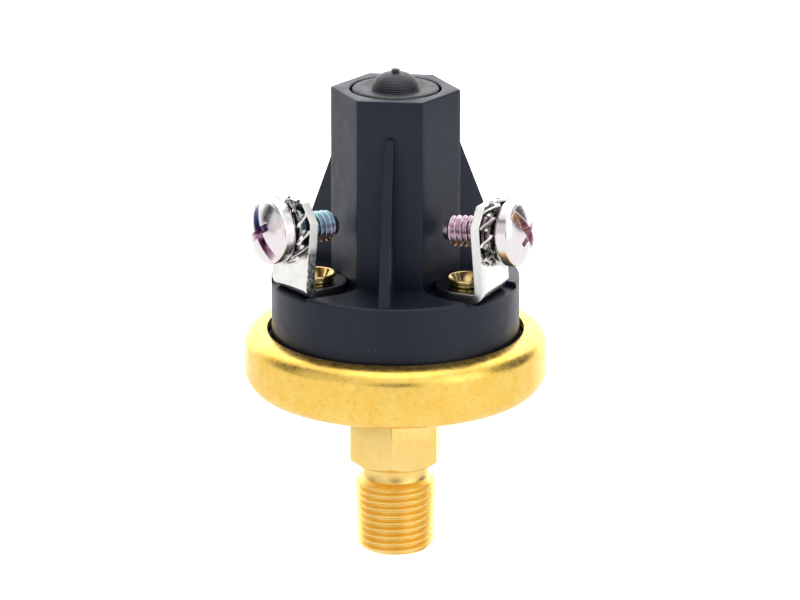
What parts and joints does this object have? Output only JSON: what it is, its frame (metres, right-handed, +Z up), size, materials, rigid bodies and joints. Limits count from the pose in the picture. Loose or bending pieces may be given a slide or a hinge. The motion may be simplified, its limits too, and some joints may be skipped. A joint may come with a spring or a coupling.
{
  "type": "pressure switch",
  "caption": "Screw-terminal pressure switch: brass pipe fitting and crimped cup, moulded hexagonal column with ribs, riveted terminals and an adjustable range spring.",
  "frame": {"origin": "centre of the pipe thread's lower end, which is the lowest point", "axes": "+Z up along the pipe thread and the column; -Y is the rib side between the two terminals; +X to the right seen from there"},
  "size_m": [0.0386, 0.0386, 0.0635],
  "materials": {
    "housing_plastic": "satin charcoal glass-filled plastic",
    "brass_sheet": "satin tumbled brass",
    "brass_bar": "machined brass bar, sandy on the hexagon",
    "gasket_rubber": "matte black rubber",
    "diaphragm_fabric": "fabric-reinforced elastomer",
    "insert_brass": "machined brass",
    "tin_plate": "bright tin plate with sheared edges",
    "eyelet_brass": "bright brass",
    "contact_copper": "copper alloy",
    "contact_silver": "fine silver",
    "plated_steel": "zinc-plated steel",
    "plunger_plastic": "natural acetal",
    "spring_steel": "music wire",
    "black_steel": "black oxide steel",
    "plug_rubber": "matte black moulded rubber",
    "nickel_steel": "bright nickel plate",
    "zinc_plate": "bright clear zinc plate with faint iridescence"
  },
  "bodies": {
    "switch_body": {"housing": "housing_plastic", "brass_cup": "brass_sheet", "port_fitting": "brass_bar", "chamber_gasket": "gasket_rubber", "diaphragm": "diaphragm_fabric", "threaded_insert": "insert_brass", "left_terminal": "tin_plate", "right_terminal": "tin_plate", "left_eyelet": "eyelet_brass", "right_eyelet": "eyelet_brass", "left_contact_strip": "contact_copper", "right_contact_strip": "contact_copper", "left_contact_button": "contact_silver", "right_contact_button": "contact_silver", "range_spring": "spring_steel"},
    "plunger": {"pressure_plate": "plated_steel", "plunger": "plunger_plastic", "bridge_spring": "spring_steel", "contact_bridge": "contact_copper", "bridge_buttons": "contact_silver", "lower_spring_seat": "plated_steel"},
    "spring_seat": {"upper_spring_seat": "plated_steel"},
    "adjusting_screw": {"adjusting_screw": "black_steel"},
    "plug": {"adjuster_plug": "plug_rubber"},
    "left_washer": {"left_lock_washer": "nickel_steel"},
    "left_screw": {"left_terminal_screw": "zinc_plate"},
    "right_washer": {"right_lock_washer": "nickel_steel"},
    "right_screw": {"right_terminal_screw": "zinc_plate"}
  },
  "joints": [
    {"name": "pressure_stroke", "type": "slide", "parent": "switch_body", "child": "plunger", "axis": [0, 0, 1], "range_m": [0, 0.0008], "stiffness_N_per_m": 3000, "deforming": ["range_spring"]},
    {"name": "adjuster_travel", "type": "slide", "parent": "switch_body", "child": "spring_seat", "axis": [0, 0, 1], "range_m": [-0.00212, 0.00212]},
    {"name": "adjuster_turn", "type": "hinge", "parent": "spring_seat", "child": "adjusting_screw", "pos_m": [0, 0, 0.0489], "axis": [0, 0, 1], "range_deg": [-720, 720]},
    {"name": "plug_pull", "type": "slide", "parent": "switch_body", "child": "plug", "axis": [0, 0, 1], "range_m": [0, 0.012]},
    {"name": "left_screw_travel", "type": "slide", "parent": "switch_body", "child": "left_washer", "axis": [-0.7603, -0.6448, 0.0785], "range_m": [0, 0.00476]},
    {"name": "left_screw_turn", "type": "hinge", "parent": "left_washer", "child": "left_screw", "pos_m": [-0.01225, -0.00781, 0.04437], "axis": [-0.7603, -0.6448, 0.0785], "range_deg": [0, 2160]},
    {"name": "right_screw_travel", "type": "slide", "parent": "switch_body", "child": "right_washer", "axis": [0.9386, -0.3361, 0.0785], "range_m": [0, 0.00476]},
    {"name": "right_screw_turn", "type": "hinge", "parent": "right_washer", "child": "right_screw", "pos_m": [0.01288, -0.0067, 0.04437], "axis": [0.9386, -0.3361, 0.0785], "range_deg": [0, 2160]}
  ],
  "couplings": [
    {"joint": "adjuster_turn", "follows": "adjuster_travel", "rad_per_m": 5938.7},
    {"joint": "left_screw_turn", "follows": "left_screw_travel", "rad_per_m": 7915.8},
    {"joint": "right_screw_turn", "follows": "right_screw_travel", "rad_per_m": 7915.8}
  ]
}
